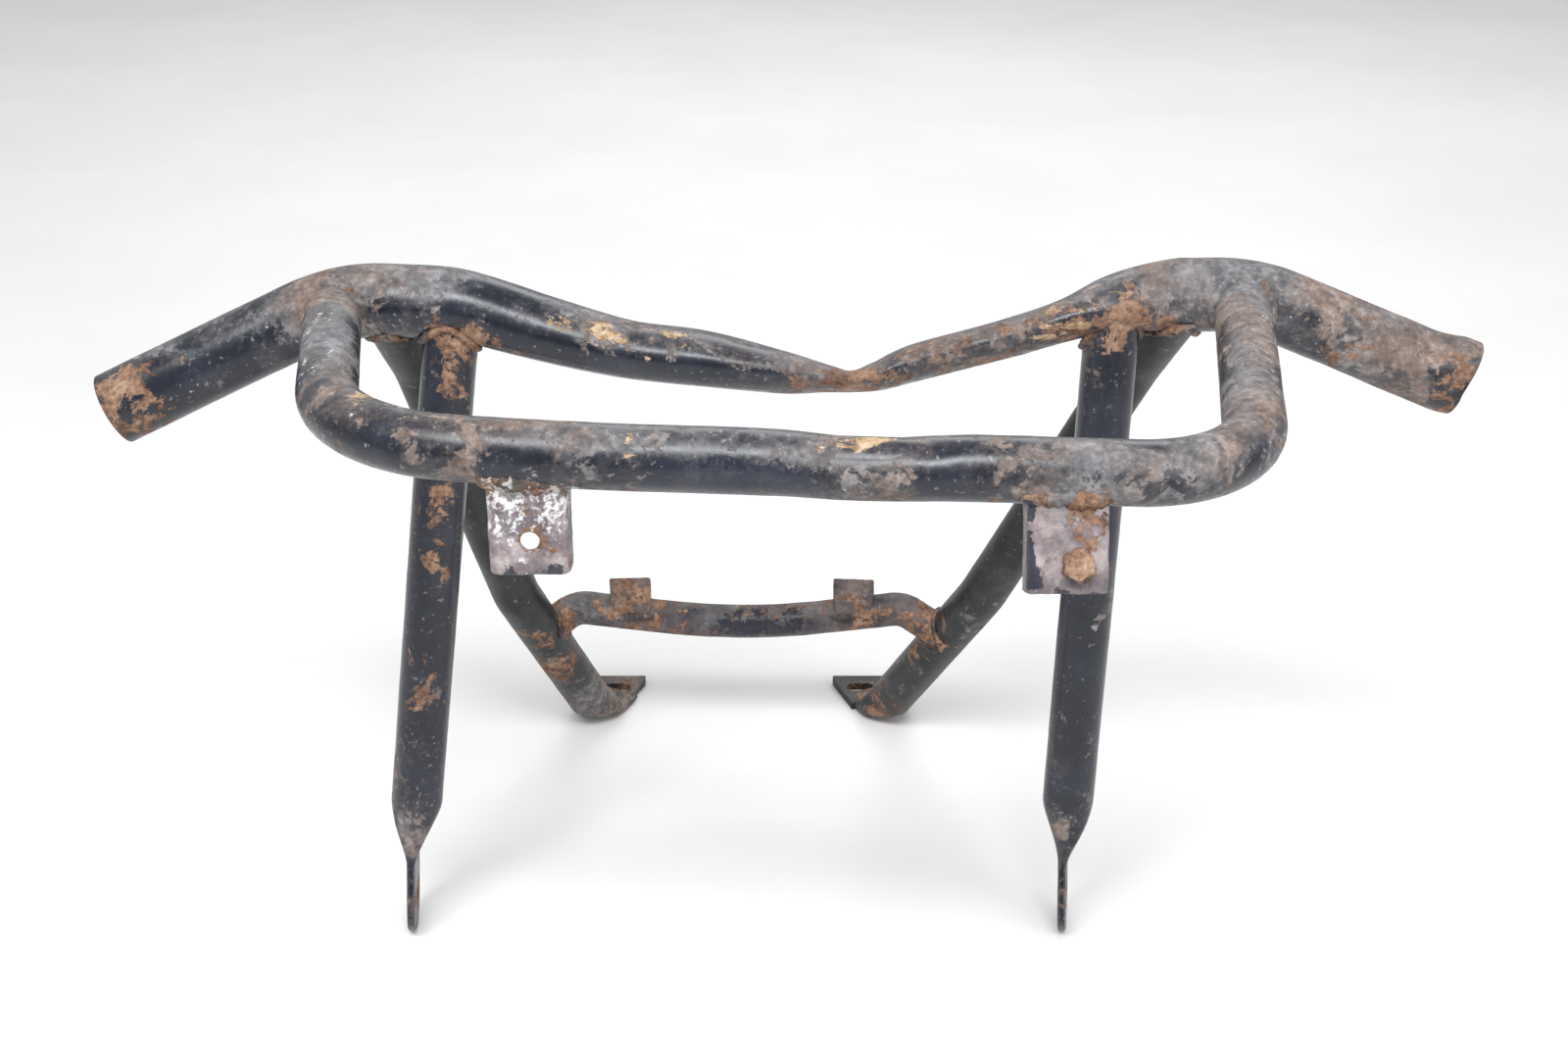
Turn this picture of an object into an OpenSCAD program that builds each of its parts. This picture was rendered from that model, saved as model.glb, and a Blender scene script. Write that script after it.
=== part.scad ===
// Tubular front guard: a bent top tube, a forward hoop, two front legs with
// flattened bolt tabs, two splayed rear legs with slotted feet, a cross bar,
// stamped brackets and their weld beads. The guard has been struck from above:
// its top tube is folded at the middle and the upper frame is racked sideways.
// Units are millimetres, +X right, -Y to the front of the guard, +Z up.
// The origin is on the ground, under the middle of the guard.

/* [Top tube] */
// Outside diameter of the top tube
top_d = 34; // [30:0.5:38]
// Wall of the top tube
top_wall = 2.3; // [1.6:0.1:3]
// Height of the top tube's shoulders
top_z = 330; // [300:5:360]
// Fore and aft place of the top tube
top_y = 7.5; // [0:0.5:10]
// Bend radius between shoulder and wing
wing_bend_r = 85; // [60:5:100]

/* [Crushed middle] */
// Height of the section where the tube is folded
fold_h = 10; // [9:1:20]
// Sideways place of the fold
fold_x = 32; // [0:1:40]
// Drop of the fold below the shoulders
fold_drop = 47; // [20:1:60]
// Rearward shift of the fold
fold_back = 4; // [0:1:10]
// Lean of the flattened section
crush_lean = 26; // [0:1:30]

/* [Hoop] */
// Outside diameter of the hoop
hoop_d = 25.4; // [22:0.2:28]
// Reach of the hoop in front of the top tube
hoop_reach = 176; // [150:2:190]
// Bend radius of the left corner
hoop_left_r = 76; // [50:1:80]
// Bend radius of the right corner
hoop_right_r = 54; // [40:1:65]

/* [Legs] */
// Outside diameter of the four legs
leg_d = 25.4; // [22:0.2:28]
// Wall of the legs and the hoop
leg_wall = 2; // [1.6:0.1:2.4]
// Thickness of a flattened tube end
flat_t = 4.6; // [4:0.1:5]
// Width of a front leg's bolt tab
tab_w = 33; // [28:1:38]
// Hole in a front leg's bolt tab
tab_hole_d = 8.5; // [6.5:0.5:11]
// Sideways shift of the feet against the top, from the knock
rack = 25; // [0:1:30]

/* [Rear feet] */
// Spacing of the two slotted feet
foot_spacing = 153; // [140:1:165]
// Slot length, end to end
slot_l = 17; // [12:1:20]
// Slot width
slot_w = 8.5; // [6.5:0.5:10]

/* [Cross bar] */
// Outside diameter of the rear cross bar
bar_d = 19.1; // [17:0.1:21]
// Wall of the rear cross bar
bar_wall = 1.8; // [1.4:0.1:2.2]

/* [Brackets] */
// Width of a hoop bracket
bracket_w = 31; // [28:1:36]
// Sheet thickness of a hoop bracket
bracket_t = 3; // [2:0.5:4]
// Depth of a hoop bracket's side flanges
bracket_depth = 14; // [9:1:18]
// Hole in a hoop bracket
bracket_hole_d = 7.5; // [7:0.5:9]
// Width of a cross bar tab
bar_tab_w = 23; // [18:1:26]

/* [Bolt] */
// Thread diameter of the seized bolt
bolt_d = 6; // [5:1:6]
// Hexagon across the flats
hex_af = 11; // [10:0.5:12]

/* [Welds] */
// Leg length of a weld fillet
bead = 3.2; // [2:0.2:4]

/* [Hidden] */

$fn = 72;
LEFT = -1;
RIGHT = 1;
UP = [0, 0, 1];
BACK = [0, 1, 0];
ACROSS = [1, 0, 0];
TINY = 0.01;
BLACK_PAINT = [0.10, 0.10, 0.13];
DULL_PAINT = [0.16, 0.16, 0.18];
RUST = [0.42, 0.27, 0.18];
ORANGE_RUST = [0.55, 0.32, 0.17];
CHALKY = [0.55, 0.50, 0.50];

function pick(pair, side) = side == LEFT ? pair[0] : pair[1];

// ---- Paths: each tube is a list of corner points with a bend radius at each inner corner

// The top tube runs level at the shoulders and droops into two wings
shoulder_x = 182;
wing_left_path = [
    [-309, top_y - 22, top_z - 47.5],
    [-205, top_y, top_z - 2.5],
    [-shoulder_x, top_y, top_z - 2.5]
];
wing_right_path = [
    [shoulder_x, top_y, top_z],
    [216, top_y, top_z],
    [309.8, top_y - 20, top_z - 34.5]
];

// The hoop runs forward from one shoulder, across the front and back to the other
hoop_y = top_y - hoop_reach;
hoop_path = [
    [-207, top_y, top_z - 4],
    [-176, hoop_y + 15, top_z],
    [-70, hoop_y + 1, top_z],
    [178, hoop_y - 4, top_z - 6],
    [210, top_y, top_z]
];
hoop_bends = [hoop_left_r, 250, hoop_right_r];

// The front legs lean forward, their lower ends shifted sideways by the knock
front_top = [[-152.5, top_y - 3, 324], [151.5, top_y - 5, 324]];
front_tab_top = [[-190 + 25 - rack, top_y - 42, 44], [143 + 25 - rack, top_y - 42, 44]];
front_tip = [[-193 + 25 - rack, top_y - 47, 0.3], [144.8 + 25 - rack, top_y - 47, 0.3]];
taper_l = 30;
tab_turn = [6, -10];

// The rear legs leave the top tube backwards, kink at the cross bar, end in flat feet
rear_path = [
    [[-184, top_y, 322], [-179, 41.5, 282], [-147, 84.5, 128], [-119, 150.5, 19]],
    [[181, top_y, 322], [172, 41.5, 282], [109, 84.5, 128], [66, 150.5, 19]]
];
rear_bends = [30, 45];
foot_y = 183.5;
foot_mid_x = -28.5;
foot_x = [foot_mid_x - foot_spacing / 2, foot_mid_x + foot_spacing / 2];

// The cross bar sags a little and turns down into the rear legs
bar_path = [
    [-140, 102.5, 90],
    [-119, 117.5, 101],
    [-23, 123.5, 85],
    [68, 117.5, 100],
    [95, 102.5, 88]
];
bar_bends = [18, 260, 18];

ring_sides = 24;

// ---- Vectors and rigid placement

function unit(v) = v / norm(v);
function travel(path, i) = unit(path[i + 1] - path[i]);
function turn_angle(path, i) = acos(travel(path, i - 1) * travel(path, i));
function tangent_l(path, bends, i) =
    (i == 0 || i == len(path) - 1) ? 0 : bends[i - 1] * tan(turn_angle(path, i) / 2);

// Puts a shape's own x, y and z axes along the given directions, at o
module place(o, x, y, z)
    multmatrix([
        [x[0], y[0], z[0], o[0]],
        [x[1], y[1], z[1], o[1]],
        [x[2], y[2], z[2], o[2]],
        [0, 0, 0, 1]
    ])
        children();

// Turns +Z to the direction d, at o, keeping x across the guard as far as it can
module aim(o, d) {
    zz = unit(d);
    yy = unit(cross(zz, abs(zz[0]) > 0.9 ? [0, 0, 1] : [1, 0, 0]));
    place(o, cross(yy, zz), yy, zz) children();
}

// Points and directions along a path: straight lengths, and bends in short steps
bend_step = 8;
function bend_frames(path, bends, i) =
    let (
        before = travel(path, i - 1),
        after = travel(path, i),
        inward = unit(after - before * (before * after)),
        r = bends[i - 1],
        angle = turn_angle(path, i),
        steps = max(1, ceil(angle / bend_step)),
        hub = path[i] - before * tangent_l(path, bends, i) + inward * r
    )
    [for (k = [0 : steps])
        let (t = angle * k / steps)
        [hub - inward * r * cos(t) + before * r * sin(t), before * cos(t) + inward * sin(t)]];
function frames(path, bends) =
    let (last = len(path) - 1)
    concat(
        [[path[0], travel(path, 0)]],
        [for (i = [1 : 1 : last - 1]) each bend_frames(path, bends, i)],
        [[path[last], travel(path, last - 1)]]
    );

// A ring of points across a frame, counted from the direction nearest to ref
function ring_at(frame, r, ref) =
    let (u = unit(ref - frame[1] * (frame[1] * ref)), v = cross(frame[1], u))
    [for (j = [0 : ring_sides - 1])
        let (t = 360 * j / ring_sides)
        frame[0] + r * (cos(t) * u + sin(t) * v)];

// Moves an end ring along its tube until it meets the round bar it is coped to
function coped(points, d, bar) =
    bar == undef ? points : [for (p = points) p + d * reach(p, d, bar[0], bar[1], bar[2] / 2)];

function tube_rings(line, r, ref, bar_start, bar_end) =
    let (last = len(line) - 1)
    [for (k = [0 : last])
        let (points = ring_at(line[k], r, ref))
        k == 0 ? coped(points, -line[0][1], bar_start)
            : k == last ? coped(points, line[last][1], bar_end)
            : points];

function backwards(rings) = [for (k = [len(rings) - 1 : -1 : 0]) rings[k]];

// A hollow tube along a path, its ends square or coped to round bars [point, direction, diameter]
module bent_tube(path, bends, d, wall, ref, bar_start = undef, bar_end = undef) {
    line = frames(path, bends);
    skin(
        concat(
            tube_rings(line, d / 2, ref, bar_start, bar_end),
            backwards(tube_rings(line, d / 2 - wall, ref, bar_start, bar_end))
        ),
        closed = true
    );
}

// A straight solid rod between two points, used to cut one tube to fit another
module rod(a, b, d)
    aim(a, b - a) cylinder(d = d, h = norm(b - a));

// ---- Closed skins built from rings of points

function wrap(i, n) = (i % n + n) % n;

// Skin over rings of equal length, counted anticlockwise along the run of rings
module skin(rings, closed = false) {
    n = len(rings[0]);
    m = len(rings);
    points = [for (r = rings) for (p = r) p];
    walls = [
        for (k = [0 : closed ? m - 1 : m - 2]) for (j = [0 : n - 1])
            let (j2 = wrap(j + 1, n), a = k * n, b = wrap(k + 1, m) * n)
            each [[a + j, b + j2, a + j2], [a + j, b + j, b + j2]]
    ];
    caps = closed ? [] : [
        [for (j = [0 : n - 1]) j],
        [for (j = [0 : n - 1]) m * n - 1 - j]
    ];
    polyhedron(points = points, faces = concat(walls, caps), convexity = 8);
}

// ---- The crushed middle of the top tube, swept through hand-set stations

// Each station: [x, drop below the shoulders, height of the section]
crush_stations = [
    [-shoulder_x, 2.5, top_d],
    [-162, 3.5, top_d - 0.5],
    [-144, 6.5, top_d - 1.5],
    [-110, 17, 30],
    [-73, 27, 27],
    [-37, 32, 26],
    [0, 40, 20],
    [fold_x - 12, 43.5, fold_h + 3],
    [fold_x, fold_drop - fold_back / 2, fold_h],
    [fold_x + 13, 42, fold_h + 4],
    [fold_x + 30, 35, 17.5],
    [101, 23, 18],
    [130, 13, 19.5],
    [155, 3.5, 27],
    [shoulder_x, 0, top_d]
];
steps_per_span = 2;

// Catmull-Rom through the stations
function station(i) = crush_stations[max(0, min(len(crush_stations) - 1, i))];
function blend(a, b, c, d, t) =
    0.5 * (2 * b + (c - a) * t + (2 * a - 5 * b + 4 * c - d) * t * t
        + (3 * b - a - 3 * c + d) * t * t * t);
function along(s) =
    let (i = min(floor(s), len(crush_stations) - 2), t = s - i)
    blend(station(i - 1), station(i), station(i + 1), station(i + 2), t);

crush_count = (len(crush_stations) - 1) * steps_per_span;
function crush_at(k) = along(k / steps_per_span);
// How far a section is pushed back, most at the fold
function push_back(x) = fold_back * exp(-pow((x - fold_x) / 60, 2));
function crush_centre(k) =
    let (v = crush_at(k))
    [v[0], top_y + push_back(v[0]), top_z - v[1]];
function crush_dir(k) =
    (k == 0 || k == crush_count) ? [1, 0, 0]
        : unit(crush_centre(k + 1) - crush_centre(k - 1));

// Half width of a flattened section with the same length of wall as the round tube
function half_width(h) = sqrt(max(0, 2 * pow(top_d / 2, 2) - pow(h / 2, 2)));
// The lean grows as the section flattens
function lean(h) = crush_lean * min(1, (top_d - h) / (top_d - 20));

// One ring of the crushed section, inset by the wall for the bore
function crush_ring(k, inset) =
    let (
        v = crush_at(k),
        c = crush_centre(k),
        dir = crush_dir(k),
        a = half_width(v[2]) - inset,
        b = v[2] / 2 - inset,
        tilt = lean(v[2]),
        across = unit(cross(cross(dir, [0, cos(tilt), -sin(tilt)]), dir)),
        upward = cross(dir, across)
    )
    [for (j = [0 : ring_sides - 1])
        let (t = 360 * j / ring_sides)
        c + a * cos(t) * across + b * sin(t) * upward];

// The whole top tube as one run of rings: left wing, crushed middle, right wing
function top_rings(inset) =
    let (
        left = tube_rings(frames(wing_left_path, [wing_bend_r]), top_d / 2 - inset, BACK),
        right = tube_rings(frames(wing_right_path, [wing_bend_r]), top_d / 2 - inset, BACK)
    )
    concat(
        [for (k = [0 : len(left) - 2]) left[k]],
        [for (k = [0 : crush_count]) crush_ring(k, inset)],
        [for (k = [1 : len(right) - 1]) right[k]]
    );

// ---- Weld beads that follow the seam of one tube on another

// Distance along d from p to a round bar of radius r about the line q, a
function reach(p, d, q, a, r) =
    let (
        w = p - q,
        wp = w - (w * a) * a,
        dp = d - (d * a) * a,
        aa = dp * dp,
        bb = wp * dp,
        cc = wp * wp - r * r
    )
    (-bb - sqrt(max(0, bb * bb - aa * cc))) / aa;

bead_points = 28;
bead_sides = 6;
// Seam of a branch tube of radius rb, from p along d, on a main bar of radius rm
function seam(p, d, rb, q, a, rm) =
    let (u = unit(cross(d, a)), v = cross(d, u))
    [for (i = [0 : bead_points - 1])
        let (t = 360 * i / bead_points, s = p + rb * (cos(t) * u + sin(t) * v))
        s + d * reach(s, d, q, a, rm)];

// A bead of slightly uneven thickness along a closed seam
module bead_along(points, d) {
    n = len(points);
    skin(
        [for (i = [0 : n - 1])
            let (
                t = unit(points[wrap(i + 1, n)] - points[wrap(i - 1, n)]),
                n1 = unit(cross(t, d)),
                n2 = cross(n1, t),
                r = bead * (1 + 0.12 * sin(7 * 360 * i / n) + 0.08 * cos(5 * 360 * i / n))
            )
            [for (j = [0 : bead_sides - 1])
                let (f = 360 * j / bead_sides)
                points[i] + r * (cos(f) * n1 - sin(f) * n2)]],
        closed = true
    );
}

// Bead round a tube of diameter branch_d, running from p along d onto a bar
module tube_weld(p, d, branch_d, bar)
    color(ORANGE_RUST)
    bead_along(seam(p, d, branch_d / 2, bar[0], bar[1], bar[2] / 2), d);

// ---- Tubes

module top_tube()
    color(BLACK_PAINT)
    skin(concat(top_rings(0), backwards(top_rings(top_wall))), closed = true);

// The top tube beside each joint, as a straight bar: [point, direction, diameter]
function bar_between(a, b, d) = [a, unit(b - a), d];
hoop_seat = [
    bar_between([-230, top_y - 4, top_z - 14], [-195, top_y, top_z - 1], top_d + 0.3),
    bar_between([190, top_y, top_z + 0.5], [235, top_y - 4, top_z - 6], top_d + 0.3)
];

module front_hoop()
    color(BLACK_PAINT)
    bent_tube(hoop_path, hoop_bends, hoop_d, leg_wall, UP, hoop_seat[0], hoop_seat[1]);

module hoop_weld(side) {
    seat = pick(hoop_seat, side);
    start = pick([hoop_path[1], hoop_path[3]], side);
    stop = pick([hoop_path[0], hoop_path[4]], side);
    tube_weld(start, unit(stop - start), hoop_d, seat);
}

// Height of the bolt hole above the tip of a tab
tab_hole_z = 20;

// Bolt tab in its own frame: +Z up the leg, tip at the origin, hole along X
module front_tab(length)
    difference() {
        rotate([0, 90, 0])
            translate([0, 0, -flat_t / 2])
                linear_extrude(height = flat_t)
                    union() {
                        translate([-tab_w / 2, 0]) circle(d = tab_w);
                        translate([-length, -tab_w / 2]) square([length - tab_w / 2, tab_w]);
                    }
        translate([-flat_t, 0, tab_hole_z])
            rotate([0, 90, 0]) cylinder(d = tab_hole_d, h = 2 * flat_t);
    }

// The bar that a front leg's mouth is cut to, a little larger than the tube above
front_seat = [
    bar_between([-190, top_y, 329.5], [-120, top_y, 318], top_d + 0.6),
    bar_between([120, top_y + 2, 317], [185, top_y + 2, 330], top_d - 2)
];

// The tube is pressed flat above the tab.
// Each station: [share of the taper, half thickness, half width]
front_stations = [
    [0.2, leg_d / 2 - 0.3, leg_d / 2 + 0.4],
    [0.4, leg_d / 2 - 2, leg_d / 2 + 1.6],
    [0.6, 7.8, leg_d / 2 + 2.8],
    [0.8, 5, tab_w / 2 - 0.6],
    [1, 3.1, tab_w / 2 - 0.4],
    [1.25, flat_t / 2 - 0.15, tab_w / 2 - 0.4]
];
function front_down(side) = unit(pick(front_tab_top, side) - pick(front_top, side));
function front_start(side) = pick(front_tab_top, side) - front_down(side) * taper_l;
// Direction across a tab's face
function tab_across(side) =
    let (
        up = -front_down(side),
        level = unit(cross(up, ACROSS)),
        turn = pick(tab_turn, side)
    )
    level * cos(turn) - cross(level, up) * sin(turn);
function front_ring(side, station) =
    let (
        down = front_down(side),
        u = tab_across(side),
        v = cross(down, u),
        c = front_start(side) + down * station[0] * taper_l
    )
    [for (j = [0 : ring_sides - 1])
        let (t = 360 * j / ring_sides)
        c + station[2] * cos(t) * u + station[1] * sin(t) * v];
function front_rings(side, r) =
    tube_rings(frames([pick(front_top, side), front_start(side)], []), r, tab_across(side),
        pick(front_seat, side), undef);

module front_leg(side) {
    tip = pick(front_tip, side);
    tab = pick(front_tab_top, side) - tip;
    color(BLACK_PAINT) {
        skin(concat(
            backwards(front_rings(side, leg_d / 2 - leg_wall)),
            front_rings(side, leg_d / 2),
            [for (s = front_stations) front_ring(side, s)]
        ));
        aim(tip, tab) rotate([0, 0, pick(tab_turn, side)]) front_tab(norm(tab) + 1);
    }
}

module front_leg_weld(side) {
    leg_top = pick(front_top, side);
    tab_top = pick(front_tab_top, side);
    tube_weld(tab_top, unit(leg_top - tab_top), leg_d, pick(front_seat, side));
}

// Outline of a right foot's flat end in plan, its slot at the origin
FOOT = [[24, -7], [-6, -19], [-11, -6], [-17, 9], [-17, 14], [16, 14]];

module foot_slot() {
    for (end = [-1, 1])
        translate([end * (slot_l - slot_w) / 2, 0, -1]) cylinder(d = slot_w, h = flat_t + 2);
    translate([-(slot_l - slot_w) / 2, -slot_w / 2, -1])
        cube([slot_l - slot_w, slot_w, flat_t + 2]);
}

// The round end is hammered flat as it turns along the ground.
// Each station: [run along the ground, height of the middle, pitch, half height]
foot_run = [0.36, 0.933, 0];
foot_max_half_w = 16;
foot_stations = [
    [4, 14.6, 54, 11.4],
    [8, 10.4, 45, 9],
    [12, 7.2, 32, 6.7],
    [16, 5.1, 18, 4.7],
    [20, 3.8, 6, 3.3],
    [27, flat_t / 2, 0, flat_t / 2 - 0.15]
];
function foot_ring(side, station, inset) =
    let (
        h = [-side * foot_run[0], foot_run[1], 0],
        start = pick(rear_path, side)[3],
        c = [start[0], start[1], 0] + h * station[0] + UP * station[1],
        dir = h * cos(station[2]) - UP * sin(station[2]),
        u = cross(h, UP),
        v = cross(dir, u),
        a = min(foot_max_half_w, sqrt(leg_d * leg_d / 2 - pow(station[3], 2))) - inset,
        b = station[3] - inset
    )
    [for (j = [0 : ring_sides - 1])
        let (t = 360 * j / ring_sides)
        c + a * cos(t) * u + b * sin(t) * v];
// The bore ends where the flattening closes it
open_stations = 3;
function rear_rings(side, inset, count) =
    concat(
        tube_rings(frames(pick(rear_path, side), rear_bends), leg_d / 2 - inset, ACROSS,
            rear_seat(side), undef),
        [for (k = [0 : count - 1]) foot_ring(side, foot_stations[k], inset)]
    );

function rear_seat(side) = [[0, top_y, top_z - (side == LEFT ? 2.5 : 0)], ACROSS, top_d + 0.4];

module rear_leg(side)
    color(DULL_PAINT) {
        skin(concat(
            backwards(rear_rings(side, leg_wall, open_stations)),
            rear_rings(side, 0, len(foot_stations))
        ));
        translate([pick(foot_x, side), foot_y, 0])
            difference() {
                linear_extrude(height = flat_t)
                    polygon([for (p = FOOT) [p[0] * side, p[1]]]);
                foot_slot();
            }
    }

module rear_leg_weld(side) {
    path = pick(rear_path, side);
    tube_weld(path[1], -travel(path, 0), leg_d, rear_seat(side));
}

function bar_seat(side) =
    let (leg = pick(rear_path, side))
    [leg[2], travel(leg, 2), leg_d + 0.3];

module rear_cross_bar()
    color(RUST)
    bent_tube(bar_path, bar_bends, bar_d, bar_wall, UP, bar_seat(LEFT), bar_seat(RIGHT));

module cross_bar_weld(side) {
    ends = pick([[bar_path[1], bar_path[0]], [bar_path[3], bar_path[4]]], side);
    tube_weld(ends[0], unit(ends[1] - ends[0]), bar_d, bar_seat(side));
}

// ---- Brackets under the hoop's front bar

bracket_len = [46.5, 45.5];
bracket_top = [[-97, hoop_y + 4.5, top_z], [106, hoop_y - 2.5, top_z - 4.5]];
bracket_tilt = [8, 22];
bracket_hole_x = [0.5, 3];
bracket_hole_z = [-33, -34];
web_front = 7.5;

// Rounded channel in plan: the web faces front and two flanges run back
module channel(width, depth, t) {
    r = 1.5 * t;
    difference() {
        union() {
            translate([-width / 2, r]) square([width, depth - r]);
            translate([r - width / 2, 0]) square([width - 2 * r, depth]);
            for (s = [-1, 1])
                translate([s * (width / 2 - r), r]) circle(r = r);
        }
        translate([t - width / 2, t]) square([width - 2 * t, depth]);
    }
}

// A bracket's own frame: origin in the bar's axis, the web's face web_front ahead of it
module bracket_frame(side)
    translate(pick(bracket_top, side))
        rotate([-pick(bracket_tilt, side), 0, 0])
            translate([0, -web_front, 0])
                children();

module hoop_bracket(side) {
    length = pick(bracket_len, side);
    color(CHALKY)
    difference() {
        bracket_frame(side)
            difference() {
                translate([0, 0, -length])
                    linear_extrude(height = length - 6)
                        channel(bracket_w, bracket_depth, bracket_t);
                translate([pick(bracket_hole_x, side), -1, pick(bracket_hole_z, side)])
                    rotate([-90, 0, 0]) cylinder(d = bracket_hole_d, h = bracket_t + 2);
            }
        front_bar_rod(side);
    }
}

// The hoop's front bar near a bracket, as a straight rod
module front_bar_rod(side) {
    ends = pick([[hoop_path[1], hoop_path[2]], [hoop_path[2], hoop_path[3]]], side);
    rod(ends[0], ends[1] + (ends[1] - ends[0]) * 0.3, hoop_d + 0.6);
}

// A straight run of weld with tapering ends
line_steps = 12;
module bead_line(a, b, size) {
    d = unit(b - a);
    n1 = unit(cross(d, UP));
    n2 = cross(d, n1);
    skin([for (k = [0 : line_steps])
        let (
            s = k / line_steps,
            r = size * (0.35 + 0.65 * pow(sin(180 * s), 0.4)) * (1 + 0.1 * sin(1300 * s))
        )
        [for (j = [0 : bead_sides - 1])
            let (f = 360 * j / bead_sides)
            a + (b - a) * s + r * (cos(f) * n1 + sin(f) * n2)]]);
}

module bracket_weld(side)
    color(CHALKY)
    bracket_frame(side)
        bead_line([-bracket_w / 2 - 4, 0.5, -9.5], [bracket_w / 2 + 4, 0.5, -9.5], 1.3 * bead);

// ---- Bolt and nut, rusted solid in the right bracket

head_h = 5.5;
nut_h = 6.5;
bolt_length = 14;
module bolt_frame()
    bracket_frame(RIGHT)
        translate([bracket_hole_x[1], 0, bracket_hole_z[1]])
            rotate([-90, 0, 0])
                children();

module bracket_bolt()
    color(ORANGE_RUST)
    bolt_frame() {
        translate([0, 0, -head_h - TINY]) rotate([0, 0, 30]) cylinder(d = hex_af / cos(30), h = head_h, $fn = 6);
        translate([0, 0, -1]) cylinder(d = bolt_d, h = bolt_length + 1);
    }

module bracket_nut()
    color(ORANGE_RUST)
    bolt_frame()
        translate([0, 0, bracket_t + TINY])
            difference() {
                cylinder(d = hex_af / cos(30), h = nut_h, $fn = 6);
                translate([0, 0, -1]) cylinder(d = bolt_d + 0.1, h = nut_h + 2);
            }

// ---- Small channel tabs on the front of the cross bar

bar_tab_at = [[-87, 110.5, 97], [39, 111, 96]];
bar_tab_h = 26;
bar_tab_t = 2.5;
bar_tab_depth = 9;
bar_tab_yaw = [4, -6];

module bar_tab_frame(side)
    translate(pick(bar_tab_at, side))
        rotate([0, 0, pick(bar_tab_yaw, side)])
            children();

// The cross bar near a tab, as a straight rod
bar_rod = [
    [[-112, 118.5, 99.5], [-60, 121, 91.5]],
    [[14, 122, 91], [60, 119.5, 98.5]]
];

module bar_tab(side)
    color(RUST)
    difference() {
        bar_tab_frame(side)
            linear_extrude(height = bar_tab_h)
                channel(bar_tab_w, bar_tab_depth, bar_tab_t);
        rod(pick(bar_rod, side)[0], pick(bar_rod, side)[1], bar_d + 0.6);
    }

module tab_weld(side)
    color(ORANGE_RUST)
    bar_tab_frame(side)
        bead_line([-bar_tab_w / 2 - 1, 0.5, 1], [bar_tab_w / 2 + 1, 0.5, 1], 0.8 * bead);

// ---- One module for each node

module front_leg_left() front_leg(LEFT);
module front_leg_right() front_leg(RIGHT);
module rear_leg_left() rear_leg(LEFT);
module rear_leg_right() rear_leg(RIGHT);
module hoop_bracket_left() hoop_bracket(LEFT);
module hoop_bracket_right() hoop_bracket(RIGHT);
module bar_tab_left() bar_tab(LEFT);
module bar_tab_right() bar_tab(RIGHT);
module hoop_weld_left() hoop_weld(LEFT);
module hoop_weld_right() hoop_weld(RIGHT);
module front_leg_weld_left() front_leg_weld(LEFT);
module front_leg_weld_right() front_leg_weld(RIGHT);
module rear_leg_weld_left() rear_leg_weld(LEFT);
module rear_leg_weld_right() rear_leg_weld(RIGHT);
module cross_bar_weld_left() cross_bar_weld(LEFT);
module cross_bar_weld_right() cross_bar_weld(RIGHT);
module bracket_weld_left() bracket_weld(LEFT);
module bracket_weld_right() bracket_weld(RIGHT);
module tab_weld_left() tab_weld(LEFT);
module tab_weld_right() tab_weld(RIGHT);

top_tube();
front_hoop();
front_leg_left();
front_leg_right();
rear_leg_left();
rear_leg_right();
rear_cross_bar();
hoop_bracket_left();
hoop_bracket_right();
bar_tab_left();
bar_tab_right();
bracket_bolt();
bracket_nut();
hoop_weld_left();
hoop_weld_right();
front_leg_weld_left();
front_leg_weld_right();
rear_leg_weld_left();
rear_leg_weld_right();
cross_bar_weld_left();
cross_bar_weld_right();
bracket_weld_left();
bracket_weld_right();
tab_weld_left();
tab_weld_right();
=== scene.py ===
import bmesh
import bpy
import math
import numpy as np
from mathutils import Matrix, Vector, noise


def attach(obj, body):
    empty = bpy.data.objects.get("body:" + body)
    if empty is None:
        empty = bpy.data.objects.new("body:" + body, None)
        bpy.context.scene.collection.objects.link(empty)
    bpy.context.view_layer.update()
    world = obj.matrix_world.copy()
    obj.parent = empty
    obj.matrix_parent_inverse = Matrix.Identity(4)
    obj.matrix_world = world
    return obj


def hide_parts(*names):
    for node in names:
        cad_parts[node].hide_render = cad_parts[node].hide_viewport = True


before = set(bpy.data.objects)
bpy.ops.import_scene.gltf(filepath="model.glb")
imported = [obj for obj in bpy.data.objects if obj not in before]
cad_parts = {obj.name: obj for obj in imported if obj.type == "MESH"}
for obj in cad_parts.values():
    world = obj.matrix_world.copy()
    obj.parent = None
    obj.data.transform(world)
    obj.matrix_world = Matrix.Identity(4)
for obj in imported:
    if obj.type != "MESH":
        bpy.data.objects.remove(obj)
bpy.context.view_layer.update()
SIDES = ("left", "right")

# ---------------------------------------------------------------- camera

# place in metres, degrees down from level, and focal length and sensor width in millimetres
CAM_PLACE, CAM_PITCH, CAM_LENS, SENSOR_W = (0, -0.7825, 0.6194), 27.3, 41.6, 36
cam_data = bpy.data.cameras.new("camera")
cam = bpy.data.objects.new("camera", cam_data)
bpy.context.scene.collection.objects.link(cam)
cam.location = CAM_PLACE
cam.rotation_euler = (math.radians(90 - CAM_PITCH), 0, 0)
cam_data.lens = CAM_LENS
cam_data.sensor_width = SENSOR_W
cam_data.dof.use_dof = False
cam_data.clip_start = 0.01
bpy.context.scene.camera = cam
bpy.context.scene.view_settings.view_transform = "Standard"

# ---------------------------------------------------------------- the guard's main sizes, mm

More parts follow.
